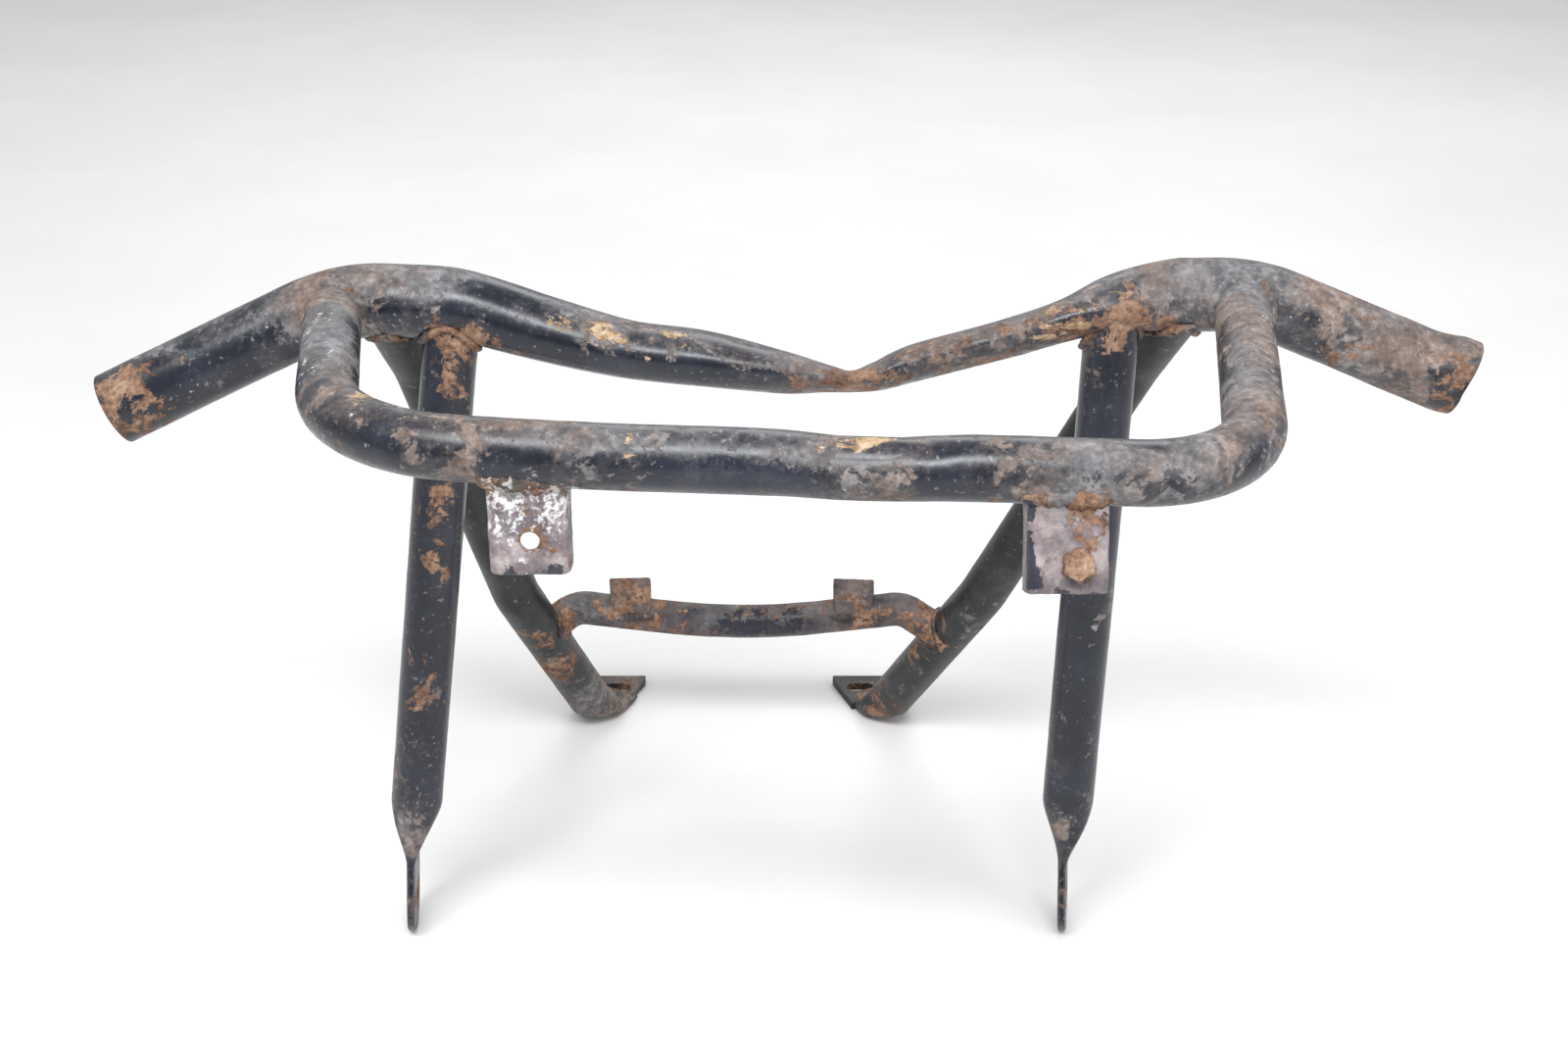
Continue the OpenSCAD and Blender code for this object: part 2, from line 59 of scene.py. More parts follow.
TOP_D, TOP_WALL, TOP_Y, TOP_Z = 34.0, 2.3, 7.5, 330.0
LEG_D, WALL, BAR_D, BAR_WALL = 25.4, 2.0, 19.1, 1.8
TOP_R, LEG_R, BAR_R = TOP_D / 2, LEG_D / 2, BAR_D / 2
SHOULDER_X = 182.0
HOOP_REACH = 176
HOOP_Y = TOP_Y - HOOP_REACH
HOLE_D = 8.5
UP, BACK, ACROSS = np.array([0, 0, 1.0]), np.array([0, 1.0, 0]), np.array([1.0, 0, 0])


def unit(v):
    v = np.asarray(v, float)
    return v / np.linalg.norm(v)


# ---------------------------------------------------------------- swept tubes

STEP, BEND_STEP = 2.5, 2.0  # mm along a straight length or a bend, and degrees round a bend


def path_frames(path, bends):
    """Centres and directions along corner points joined by straight lengths and true bends."""
    path = [np.array(p, float) for p in path]
    last = len(path) - 1
    out = []
    last_end = path[0]
    for i in range(1, len(path)):
        d = unit(path[i] - path[i - 1])
        start = path[i]
        if i < last:
            after = unit(path[i + 1] - path[i])
            turn = math.acos(max(-1, min(1, float(d @ after))))
            r = bends[i - 1]
            inward = unit(after - d * (d @ after))
            start = path[i] - d * (r * math.tan(turn / 2))
        n = max(1, int(round(np.linalg.norm(start - last_end) / STEP)))
        for k in range(n + (1 if i == last else 0)):
            out.append((last_end + (start - last_end) * k / n, d))
        if i < last:
            hub = start + inward * r
            n = max(2, int(round(math.degrees(turn) / BEND_STEP)), int(r * turn / STEP))
            for k in range(n):
                t = turn * k / n
                out.append((hub - inward * r * math.cos(t) + d * r * math.sin(t),
                            d * math.cos(t) + inward * math.sin(t)))
            last_end = hub - inward * r * math.cos(turn) + d * r * math.sin(turn)
    return out


def super_ring(c, u, v, a, b, power, sides):
    """A ring with half sizes a along u and b along v; power 2 is an ellipse, more is boxier."""
    t = np.arange(sides) * 2 * np.pi / sides
    ct, st = np.cos(t), np.sin(t)
    x = a * np.sign(ct) * np.abs(ct) ** (2 / power)
    y = b * np.sign(st) * np.abs(st) ** (2 / power)
    return c + x[:, None] * u + y[:, None] * v


def round_rings(frames, r, ref, sides=64):
    """Circles of radius r along frames, each with its first point towards ref."""
    out = []
    for c, d in frames:
        u = unit(ref - d * (d @ ref))
        out.append(super_ring(c, u, np.cross(d, u), r, r, 2, sides))
    return out


def dent(rings, spots):
    """Pushes points inwards around each spot: (centre, direction, radius, depth)."""
    out = []
    for ring in rings:
        for c, d, r, depth in spots:
            w = np.exp(-(np.linalg.norm(ring - np.array(c, float), axis=1) / r) ** 2)
            ring = ring + w[:, None] * depth * unit(d)
        out.append(ring)
    return out


def hammered(rings, amount=0.12, scale=0.09, fine=0.04):
    """Small waves and pits over rings, along each point's way out from the ring's middle."""
    out = []
    for ring in rings:
        mid = ring.mean(axis=0)
        way = ring - mid
        way = way / np.maximum(np.linalg.norm(way, axis=1), 1e-6)[:, None]
        h = np.array([amount * noise.noise(Vector(p * scale)) + fine * noise.noise(Vector(p * 0.7))
                      for p in ring])
        out.append(ring + way * h[:, None])
    return out


def mesh_object(name, verts, faces, smooth=True, auto=40):
    """An object from points in mm; a smooth one keeps edges steeper than auto degrees crisp."""
    me = bpy.data.meshes.new(name)
    me.from_pydata([tuple(v * 0.001) for v in verts], [], faces)
    me.validate()
    me.update()
    o = bpy.data.objects.new(name, me)
    bpy.context.scene.collection.objects.link(o)
    if smooth:
        me.polygons.foreach_set("use_smooth", [True] * len(me.polygons))
        me.update()
        sharpen(o, auto)
    return o


def sharpen(o, degrees):
    """Marks edges steeper than the angle as crisp."""
    bm = bmesh.new()
    bm.from_mesh(o.data)
    for e in bm.edges:
        e.smooth = not (len(e.link_faces) == 2 and e.calc_face_angle(0) > math.radians(degrees))
    bm.to_mesh(o.data)
    bm.free()


def skin(rings, closed=False):
    """Points and faces over rings of equal count; closed joins the last ring to the first."""
    n, m = len(rings[0]), len(rings)
    verts = np.concatenate(rings)
    faces = []
    for k in range(m if closed else m - 1):
        a, b = k * n, ((k + 1) % m) * n
        for j in range(n):
            j2 = (j + 1) % n
            faces.append((a + j, a + j2, b + j2, b + j))
    if not closed:
        faces.append(tuple(range(n - 1, -1, -1)))
        faces.append(tuple((m - 1) * n + j for j in range(n)))
    return verts, faces


def tube(name, outer, inner):
    """A hollow tube with open ends."""
    return mesh_object(name, *skin(list(outer) + list(inner)[::-1], closed=True))


def cut(o, cutters):
    """Takes cutters away from o for good."""
    for c in cutters:
        m = o.modifiers.new("cut", "BOOLEAN")
        m.operation = "DIFFERENCE"
        m.solver = "EXACT"
        m.object = c
    settle(o)
    for c in cutters:
        bpy.data.objects.remove(c)


def settle(o):
    """Replaces o's mesh by what its modifiers make of it."""
    bpy.context.view_layer.update()
    dg = bpy.context.evaluated_depsgraph_get()
    me = bpy.data.meshes.new_from_object(o.evaluated_get(dg))
    o.modifiers.clear()
    o.data = me


def rod(a, b, d):
    """A plain round rod from a to b, used as a drill."""
    a, b = np.array(a, float), np.array(b, float)
    z = unit(b - a)
    x = unit(np.cross(z, [0.31, 0.17, 0.93]))  # any direction that no drill runs along
    y = np.cross(z, x)
    return mesh_object("rod", *skin([super_ring(c, x, y, d / 2, d / 2, 2, 48) for c in (a, b)]), smooth=False)


def ease(t):
    t = max(0.0, min(1.0, t))
    return t * t * (3 - 2 * t)


def smooth_rows(rows, steps):
    """Rows of numbers on the smooth curve through rows, with so many steps from each to the next."""
    out = []
    for i in range(len(rows) - 1):
        a, b, c, d = (rows[max(0, min(len(rows) - 1, k))] for k in (i - 1, i, i + 1, i + 2))
        for k in range(steps):
            t = k / steps
            out.append(0.5 * (2 * b + (c - a) * t + (2 * a - 5 * b + 4 * c - d) * t * t
                              + (3 * b - a - 3 * c + d) * t ** 3))
    out.append(rows[-1])
    return out


# ---------------------------------------------------------------- top tube

LEFT_SAG = 2.5
WING_LEFT = [[-309, TOP_Y - 22, TOP_Z - 47.5], [-205, TOP_Y, TOP_Z - LEFT_SAG],
             [-SHOULDER_X, TOP_Y, TOP_Z - LEFT_SAG]]
WING_RIGHT = [[SHOULDER_X, TOP_Y, TOP_Z], [216, TOP_Y, TOP_Z], [309.8, TOP_Y - 20, TOP_Z - 34.5]]
WING_BEND = 85
FOLD_X, FOLD_L, FOLD_PUSH = 32.0, 60, 4
CRUSH_STEPS = 10
# x, drop below the shoulders, height of the section
CRUSH = np.array([
    [-SHOULDER_X, LEFT_SAG, TOP_D],
    [-162, 3.5, 33.5],
    [-144, 6.5, 32.5],
    [-110, 17, 30],
    [-73, 27, 27],
    [-37, 32, 26],
    [0, 40, 20],
    [20, 43.5, 13],
    [32, 45, 10],
    [45, 42, 14],
    [62, 35, 17.5],
    [101, 23, 18],
    [130, 13, 19.5],
    [155, 3.5, 27],
    [SHOULDER_X, 0, TOP_D],
])


def crushed_rings(inset, sides):
    """The folded stretch between the shoulders: flatter sections spread wider, as a crushed tube does."""
    vals = smooth_rows(CRUSH, CRUSH_STEPS)
    mids = [np.array([x, TOP_Y + FOLD_PUSH * math.exp(-((x - FOLD_X) / FOLD_L) ** 2), TOP_Z - drop])
            for x, drop, _ in vals]
    out = []
    for k, v in enumerate(vals):
        ends = k in (0, len(vals) - 1)
        d = ACROSS if ends else unit(mids[k + 1] - mids[k - 1])
        h = min(v[2], TOP_D)
        lean = math.radians(26 * min(1, (TOP_D - h) / (TOP_D - 20)))
        u = unit(np.cross(np.cross(d, [0, math.cos(lean), -math.sin(lean)]), d))
        a = math.sqrt(max(0, 2 * TOP_R ** 2 - (h / 2) ** 2)) - inset
        out.append(super_ring(mids[k], u, np.cross(d, u), a, h / 2 - inset, 2, sides))
    return out


def top_rings(inset, sides=72):
    """The whole top tube, wing to wing, inset below its outer face."""
    r = TOP_R - inset
    left = round_rings(path_frames(WING_LEFT, [WING_BEND]), r, BACK, sides)
    right = round_rings(path_frames(WING_RIGHT, [WING_BEND]), r, BACK, sides)
    return left[:-1] + crushed_rings(inset, sides) + right[1:]


outer = top_rings(0)
# a flat struck into each shoulder, wrinkles beside the fold and a dent in the right wing
outer = dent(outer, [
    ((-175, TOP_Y - 12, TOP_Z + 10), (0.2, 0.5, -0.8), 16, 1.6),
    ((-120, TOP_Y - 14, TOP_Z - 2), (0, 1, -0.3), 22, 1.4),
    ((22, TOP_Y - 14, TOP_Z - 38), (0, 0.6, -0.8), 7, 1.2),
    ((44, TOP_Y - 14, TOP_Z - 36), (0, 0.6, -0.8), 6, -1.2),
    ((160, TOP_Y - 13, TOP_Z + 6), (0, 0.7, -0.7), 13, 1.8),
    ((262, TOP_Y - 24, TOP_Z - 12), (0, 1, 0), 20, 1.2),
])
outer = hammered(outer, 0.22, 0.05, 0.06)
inner = top_rings(TOP_WALL)


def torn_end(rings):
    """Draws the lip of the right wing's end outwards, more above and below than in the middle."""
    out = []
    for ring in rings:
        w = np.clip((ring[:, 0] - 296) / 14, 0, 1) ** 2
        mid = ring.mean(axis=0)
        up = np.clip((ring[:, 2] - mid[2]) / 15, 0, 1)
        low = np.clip((mid[2] - ring[:, 2]) / 12, 0, 1)
        out.append(ring + (w * up)[:, None] * np.array([2.0, -1.0, 2.5])
                   + (w * low)[:, None] * np.array([6.0, 0, 2.5]))
    return out


top = tube("look_top_tube", torn_end(outer), torn_end(inner))

# ---------------------------------------------------------------- hoop

HOOP = [[-207, TOP_Y - 4, TOP_Z - 4], [-176, HOOP_Y + 15, TOP_Z], [-70, HOOP_Y + 1, TOP_Z],
        [178, HOOP_Y - 4, TOP_Z - 6], [210, TOP_Y - 4, TOP_Z]]
hoop_frames = path_frames(HOOP, [76, 250, 54])
hoop_outer = dent(round_rings(hoop_frames, LEG_R, UP), [
    ((32, HOOP_Y, TOP_Z + 9), (0, 0.2, -1), 24, 3.2),
    ((14, HOOP_Y - 6, TOP_Z + 8), (0, 0.4, -1), 9, 0.8),
    ((56, HOOP_Y - 6, TOP_Z + 7), (0, 0.4, -1), 8, 0.9),
    ((-190, HOOP_Y + 60, TOP_Z + 10), (0, 0, -1), 16, 0.9),
    ((196, HOOP_Y + 60, TOP_Z + 10), (-0.3, 0, -1), 14, 0.8),
])
hoop = tube("look_front_hoop", hammered(hoop_outer), round_rings(hoop_frames, LEG_R - WALL, UP))

# ---------------------------------------------------------------- front legs

FRONT_TOP = [[-152.5, TOP_Y - 3, 324], [151.5, TOP_Y - 5, 324]]
TAB_TOP = [[-190, TOP_Y - 42, 44], [143, TOP_Y - 42, 44]]
TIP = [[-193, TOP_Y - 47, 0.3], [144.8, TOP_Y - 47, 0.3]]
TAB_W, FLAT_T, TAPER_L, TAB_TURN = 33.0, 4.6, 30.0, [6, -10]
LEG_STEP, TAPER_STEPS, TAB_STEPS = 3, 22, 40
TAB_HOLE_UP = 20


def front_stations(top_p, tab, tip):
    """Middles, directions and stages down a leg: 0 while round, 1 once flattened, 2 at the tip."""
    down, along = unit(tab - top_p), unit(tip - tab)
    start = tab - down * TAPER_L
    length, tab_l = np.linalg.norm(start - top_p), np.linalg.norm(tip - tab)
    n = int(length / LEG_STEP)
    out = [(top_p + down * length * k / n, down, 0.0) for k in range(n)]
    out += [(start + down * TAPER_L * k / TAPER_STEPS, down, k / TAPER_STEPS) for k in range(TAPER_STEPS)]
    out += [(tab + along * tab_l * k / TAB_STEPS, along, 1 + k / TAB_STEPS) for k in range(TAB_STEPS)]
    return out + [(tab + along * (tab_l - 0.05), along, 2.0)]


def tab_axes(d, turn):
    """Along the flat and through it, for a leg that runs down d and is turned about it."""
    yy = unit(np.cross(-d, ACROSS))
    xx = np.cross(yy, -d)
    return yy * math.cos(turn) - xx * math.sin(turn), xx * math.cos(turn) + yy * math.sin(turn)


def front_leg(side):
    """A round tube pressed flat into a bolt tab, with the seam of its two walls and a cross hole."""
    top_p, tab, tip = (np.array(p[side], float) for p in (FRONT_TOP, TAB_TOP, TIP))
    tab_l = np.linalg.norm(tip - tab)
    full_turn = math.radians(TAB_TURN[side])
    rings, bore = [], []
    for c, d, stage in front_stations(top_p, tab, tip):
        flat = ease(min(stage, 1.0))
        along, through = tab_axes(d, full_turn * flat)
        b = LEG_R + (FLAT_T / 2 - LEG_R) * (0.75 * flat + 0.25 * min(stage, 1.0))
        a = LEG_R + (TAB_W / 2 - LEG_R) * flat
        left = tab_l * (2 - stage)
        if stage > 1 and left < TAB_W / 2:
            a = math.sqrt(max(0.3, (TAB_W / 2) ** 2 - (TAB_W / 2 - left) ** 2))
        ring = super_ring(c, along, through, a, b, 2 + 4 * flat, 64)
        if flat > 0.35:
            # the seam where the two pressed walls meet, along both narrow edges
            out, side_on = (ring - c) @ through, (ring - c) @ along
            edge = np.exp(-(out / 0.55) ** 2) * (np.abs(side_on) > a - 1.6)
            ring = ring - (np.sign(side_on) * edge * 0.9 * min(1, (flat - 0.35) * 2))[:, None] * along
        rings.append(ring)
        if stage == 0.0:
            bore.append(super_ring(c, along, through, a - WALL, b - WALL, 2, 64))
    rings = hammered(rings, 0.12, 0.06, 0.05)
    leg = mesh_object("look_front_leg_" + SIDES[side], *skin(bore[::-1] + rings))
    d = unit(tip - tab)
    through = tab_axes(d, full_turn)[1]
    c = tip - d * TAB_HOLE_UP
    cut(leg, [rod(c - through * 9, c + through * 9, HOLE_D)])
    sharpen(leg, 50)
    return leg


front_legs = [front_leg(0), front_leg(1)]

# ---------------------------------------------------------------- rear legs and feet

REAR = [
    [[-184, TOP_Y, 322], [-179, 41.5, 282], [-147, 84.5, 128], [-119, 150.5, 19]],
    [[181, TOP_Y, 322], [172, 41.5, 282], [109, 84.5, 128], [66, 150.5, 19]],
]
FOOT_X = [-105.0, 48.0]
FOOT_Y = 183.5
# run along the ground, height of the middle, pitch, half height
FOOT_STATIONS = np.array([[4, 14.6, 54, 11.4], [8, 10.4, 45, 9], [12, 7.2, 32, 6.7], [16, 5.1, 18, 4.7],
                          [20, 3.8, 6, 3.3], [27, 2.3, 0, 2.2], [34, 2.3, 0, 2.2]])
FOOT_PLAN = [[24, -7], [-6, -19], [-11, -6], [-17, 9], [-17, 14], [16, 14]]
SLOT_GAP = 8.5  # between the middles of the slot's two round ends


def rear_tube(i):
    """A kinked tube whose lower end flattens out along the ground."""
    side = (-1, 1)[i]
    frames = path_frames(REAR[i], [30, 45])
    outer = round_rings(frames, LEG_R, ACROSS)
    inner = round_rings(frames, LEG_R - WALL, ACROSS)
    heading = unit([-side * 0.36, 0.933, 0])
    start = np.array(REAR[i][3], float) * [1, 1, 0]
    u = np.cross(heading, UP)
    for run, z, pitch, b in smooth_rows(FOOT_STATIONS, 6):
        p = math.radians(pitch)
        d = heading * math.cos(p) - UP * math.sin(p)
        a = min(16, math.sqrt(max(1, LEG_D ** 2 / 2 - b * b)))
        c = start + heading * run + UP * max(z, b + 0.03)
        outer.append(super_ring(c, u, np.cross(d, u), a, b, 2 + 2 * (1 - b / LEG_R), 64))
    outer = hammered(outer, 0.14, 0.06, 0.06)
    for ring in outer:
        ring[:, 2] = np.maximum(ring[:, 2], 0.02)
    return mesh_object("leg", *skin(inner[::-1] + outer))


def foot_pad(i):
    """The flat foot on the ground, with a bevelled edge and a slot across the guard."""
    side = (-1, 1)[i]
    x, y = FOOT_X[i], FOOT_Y
    n = len(FOOT_PLAN)
    verts = [np.array([p[0] * side + x, p[1] + y, z]) for z in (0, FLAT_T) for p in FOOT_PLAN]
    faces = [tuple(range(n - 1, -1, -1)), tuple(range(n, 2 * n))]
    faces += [(k, (k + 1) % n, n + (k + 1) % n, n + k) for k in range(n)]
    pad = mesh_object("pad", verts, faces if side == 1 else [f[::-1] for f in faces], smooth=False)
    bev = pad.modifiers.new("bev", "BEVEL")
    bev.width, bev.segments, bev.limit_method = 0.0007, 3, "ANGLE"
    settle(pad)
    ends = [rod([x + s * SLOT_GAP / 2, y, -3], [x + s * SLOT_GAP / 2, y, 9], HOLE_D) for s in (-1, 1)]
    bpy.ops.mesh.primitive_cube_add(size=1, location=(x / 1000, y / 1000, 0.003))
    middle = bpy.context.object
    middle.scale = (SLOT_GAP / 1000, HOLE_D / 1000, 0.02)
    cut(pad, ends + [middle])
    return pad


def join(name, parts):
    """One object out of several, their vertices in the shared frame."""
    verts, faces, base = [], [], 0
    for p in parts:
        m = p.matrix_world
        verts += [np.array(m @ v.co) * 1000 for v in p.data.vertices]
        faces += [tuple(base + v for v in f.vertices) for f in p.data.polygons]
        base += len(p.data.vertices)
        bpy.data.objects.remove(p)
    return mesh_object(name, verts, faces)


rear_legs = [join("look_rear_leg_" + n, [rear_tube(i), foot_pad(i)]) for i, n in enumerate(SIDES)]

# ---------------------------------------------------------------- cross bar

BAR = [[-140, 102.5, 90], [-119, 117.5, 101], [-23, 123.5, 85], [68, 117.5, 100], [95, 102.5, 88]]
bar_frames = path_frames(BAR, [18, 260, 18])
cross_bar = tube("look_cross_bar", hammered(round_rings(bar_frames, BAR_R, UP, 48), 0.2, 0.08, 0.1),
                 round_rings(bar_frames, BAR_R - BAR_WALL, UP, 48))

# ---------------------------------------------------------------- welds

def reach(p, d, q, a, r):
    """How far along d from p a round bar's face is; the bar runs through q along a, with radius r."""
    w = p - q
    wp, dp = w - (w @ a) * a, d - (d @ a) * a
    aa, bb, cc = dp @ dp, wp @ dp, wp @ wp - r * r
    return (-bb - math.sqrt(max(0, bb * bb - aa * cc))) / aa


def weld_ring(name, p, d, rb, bar, size, seed):
    """A bead with overlapping ripples where a branch, through p along d with radius rb, meets a bar."""
    p, d = np.array(p, float), unit(d)
    q, a, r = np.array(bar[0], float), unit(np.array(bar[1], float) - bar[0]), bar[2]
    u = unit(np.cross(d, a))
    v = np.cross(d, u)
    n = 200
    seam = []
    for i in range(n):
        t = 2 * math.pi * i / n
        s = p + rb * (math.cos(t) * u + math.sin(t) * v)
        seam.append(s + d * reach(s, d, q, a, r))
    rings = []
    for i in range(n):
        t = unit(seam[(i + 1) % n] - seam[i - 1])
        n1 = unit(np.cross(t, d))
        n2 = np.cross(n1, t)
        wob = noise.noise(Vector((seam[i] * 0.12 + seed).tolist()))
        rip = abs(math.sin(math.pi * 22 * i / n + 0.8 * wob))
        k = size * (0.84 + 0.09 * rip + 0.30 * wob)
        rings.append(super_ring(seam[i] + n2 * 0.2, n1, n2, k * 1.15, k * 0.85, 2, 14))
    verts, faces = skin(rings, closed=True)
    return mesh_object(name, verts, [f[::-1] for f in faces], auto=180)


# a bar's stretch under a weld: two points on its middle line, and its radius
HOOP_SEATS = [([-230, TOP_Y - 4, TOP_Z - 14], [-195, TOP_Y, TOP_Z - 1], TOP_R),
              ([190, TOP_Y, TOP_Z + 0.5], [235, TOP_Y - 4, TOP_Z - 6], TOP_R)]
FRONT_SEATS = [([-190, TOP_Y, 329.5], [-120, TOP_Y, 318], TOP_R),
               ([120, TOP_Y + 2, 317], [185, TOP_Y + 2, 330], 15.8)]
HOOP_ENDS = [(HOOP[1], HOOP[0]), (HOOP[3], HOOP[4])]
BAR_ENDS = [(BAR[1], BAR[0]), (BAR[3], BAR[4])]
welds = {}


def add_weld(joint, i, branch, r, bar, size, seed):
    """The weld of a branch tube, given as a point on it and its end, in one side's joint."""
    node = joint + "_weld_" + SIDES[i]
    welds[node] = weld_ring("look_" + node, branch[0], np.subtract(branch[1], branch[0]), r, bar, size, seed)


for i in range(2):
    rear_z = TOP_Z - (LEFT_SAG, 0)[i]
    rear_seat = ([0, TOP_Y, rear_z], [1, TOP_Y, rear_z], TOP_R)
    add_weld("hoop", i, HOOP_ENDS[i], LEG_R, HOOP_SEATS[i], 3.0, 3 * i)
    add_weld("front_leg", i, (TAB_TOP[i], FRONT_TOP[i]), LEG_R, FRONT_SEATS[i], 2.3, 5 + 2 * i)
    add_weld("rear_leg", i, (REAR[i][1], REAR[i][0]), LEG_R, rear_seat, 2.8, 9 + i)
    add_weld("cross_bar", i, BAR_ENDS[i], BAR_R, (REAR[i][2], REAR[i][3], LEG_R), 2.4, 12 + i)


def weld_line(name, a, b, size, seed, swell=1.0):
    """A straight run of weld with ripples and ends that die away."""
    a, b = np.array(a, float), np.array(b, float)
    d = unit(b - a)
    n1 = unit(np.cross(d, UP))
    n2 = np.cross(d, n1)
    n = 80
    rings = []
    for i in range(n + 1):
        s = i / n
        c = a + (b - a) * s
        wob = noise.noise(Vector((c * 0.15 + seed).tolist()))
        ripple = 0.85 + 0.2 * abs(math.sin(9 * math.pi * s)) + 0.3 * wob
        k = size * (0.12 + 0.88 * math.sin(math.pi * s) ** 0.4) * ripple
        rings.append(super_ring(c + n2 * wob * 0.6, n1, n2, k, k * swell, 2, 14))
    return mesh_object(name, *skin(rings), auto=180)


# ---------------------------------------------------------------- pressed brackets, tabs, bolt and nut

def worn_copy(node, name, voxel, amount, scale, pits, cutters=()):
    """A finely meshed, slightly eroded look for a CAD node; voxel, amount and pits in metres."""
    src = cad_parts[node]
    o = bpy.data.objects.new(name, src.data.copy())
    bpy.context.scene.collection.objects.link(o)
    o.data.materials.clear()
    if cutters:
        cut(o, cutters)
    m = o.modifiers.new("fine", "REMESH")
    m.mode = "VOXEL"
    m.voxel_size = voxel
    s = o.modifiers.new("soft", "SMOOTH")
    s.factor, s.iterations = 0.5, 1
    settle(o)
    me = o.data
    co = np.empty(len(me.vertices) * 3)
    me.vertices.foreach_get("co", co)
    co = co.reshape(-1, 3)
    no = np.empty(len(me.vertices) * 3)
    me.vertices.foreach_get("normal", no)
    no = no.reshape(-1, 3)
    h = np.array([amount * noise.fractal(Vector(p * scale), 0.6, 2.1, 5)
                  - pits * max(0, noise.noise(Vector(p * scale * 3)) - 0.25) for p in co])
    me.vertices.foreach_set("co", (co + no * h[:, None]).ravel())
    me.polygons.foreach_set("use_smooth", [True] * len(me.polygons))
    me.update()
    return o


brackets = [worn_copy("hoop_bracket_" + n, "look_bracket_" + n, 0.0006, 0.00022, 90, 0.0002) for n in SIDES]
TAB_AT = [[-87, 110.5, 97], [39, 111, 96]]
TAB_YAW, TAB_H, FLANGE_SLOPE = [4, -6], 26, 35


def flange_cutter(i):
    """A block over a bar tab that slopes the tops of its flanges down to the back."""
    slope, yaw = math.radians(FLANGE_SLOPE), math.radians(TAB_YAW[i])
    half = 20
    x0, y0, z0 = TAB_AT[i]
    y, z = 1.2 + half * math.sin(slope), TAB_H + half * math.cos(slope)
    at = Vector((x0 - y * math.sin(yaw), y0 + y * math.cos(yaw), z0 + z)) * 0.001
    bpy.ops.mesh.primitive_cube_add(size=0.002 * half, location=at, rotation=(-slope, 0, yaw))
    return bpy.context.object


bar_tabs = [worn_copy("bar_tab_" + n, "look_bar_tab_" + n, 0.0006, 0.0003, 110, 0.0003, [flange_cutter(i)])
            for i, n in enumerate(SIDES)]
bolt = worn_copy("bracket_bolt", "look_bracket_bolt", 0.00035, 0.0004, 260, 0.0006)
nut = worn_copy("bracket_nut", "look_bracket_nut", 0.00035, 0.0004, 260, 0.0006)


def tilted(top, tilt, p):
    """A point given in a bracket's own frame, which leans by tilt degrees under top."""
    cos_t, sin_t = math.cos(math.radians(-tilt)), math.sin(math.radians(-tilt))
    x, y, z = p
    return [top[0] + x, top[1] + y * cos_t - z * sin_t, top[2] + y * sin_t + z * cos_t]


BRACKET_TOP = [[-97, HOOP_Y + 4.5, TOP_Z], [106, HOOP_Y - 2.5, TOP_Z - 4.5]]
BRACKET_TILT = [8, 22]
for i, n in enumerate(SIDES):
    ends = [tilted(BRACKET_TOP[i], BRACKET_TILT[i], [s * 18.5, -6.6, -9.2]) for s in (-1, 1)]
    welds["bracket_weld_" + n] = weld_line("look_bracket_weld_" + n, *ends, 4.0, 20 + i, 1.25)
    ends = [[TAB_AT[i][0] + s * 12.5, TAB_AT[i][1] + 0.5, TAB_AT[i][2] + 1] for s in (-1, 1)]
    welds["tab_weld_" + n] = weld_line("look_tab_weld_" + n, *ends, 2.6, 24 + i)

# ---------------------------------------------------------------- worn places, as amounts on the vertices

# each spot is its middle in mm, its radius in mm and how much of this wear it has
RUST = [  # bare steel that has rusted
    ((-303, -28, 290), 17, 0.9), ((-312, -26, 276), 15, 0.9), ((-294, -20, 302), 13, 0.7),
    ((-290, -26, 278), 11, 0.5), ((-262, 0, 290), 22, 0.3), ((-214, 0, 312), 16, 0.3),
    ((-155, -10, 317), 15, 0.75), ((-135, -10, 309), 13, 0.65), ((-118, -8, 302), 10, 0.4),
    ((30, -7, 288), 18, 1.0), ((10, -8, 289), 14, 0.7), ((50, -6, 292), 16, 0.6),
    ((72, -4, 302), 22, 0.4), ((104, -6, 308), 24, 0.55), ((136, -10, 322), 15, 0.8),
    ((156, -10, 326), 16, 0.8), ((176, -8, 322), 12, 0.5), ((262, -10, 318), 26, 0.45),
    ((304, -26, 300), 18, 0.6), ((310, -22, 286), 16, 0.7), ((-97, -176, 322), 13, 0.35),
    ((106, -172, 320), 18, 0.45), ((-120, -160, 325), 16, 0.35), ((70, -178, 318), 14, 0.35),
    ((-160, -16, 298), 12, 0.5), ((-150, -10, 286), 10, 0.5), ((-163, -22, 236), 17, 0.6),
    ((-169, -26, 200), 16, 0.45), ((-176, -32, 140), 18, 0.45), ((-168, -26, 170), 14, 0.3),
    ((-188, -38, 62), 18, 0.35), ((-192, -38, 22), 18, 0.6), ((150, -2, 290), 12, 0.25),
    ((144, -38, 22), 18, 0.6), ((-140, 100, 100), 18, 0.8), ((-130, 110, 66), 17, 0.85),
    ((96, 100, 100), 16, 0.7), ((84, 118, 72), 16, 0.7), ((66, 150, 16), 24, 0.75),
    ((56, 176, 6), 18, 0.6), ((-105, 183, 3), 12, 0.9), ((48, 183, 3), 12, 0.9),
    ((-178, 36, 290), 14, 0.4), ((176, 36, 290), 14, 0.4), ((-96.5, -176, 298.4), 7, 1.0),
    ((-96.5, -176, 298.4), 6, 0.9), ((-112, -174, 319), 8, 0.5), ((109, -191, 297), 10, 0.75),
    ((119, -184, 314), 9, 0.55), ((94, -182, 316), 7, 0.4), ((-84, -176, 290), 7, 0.35),
]
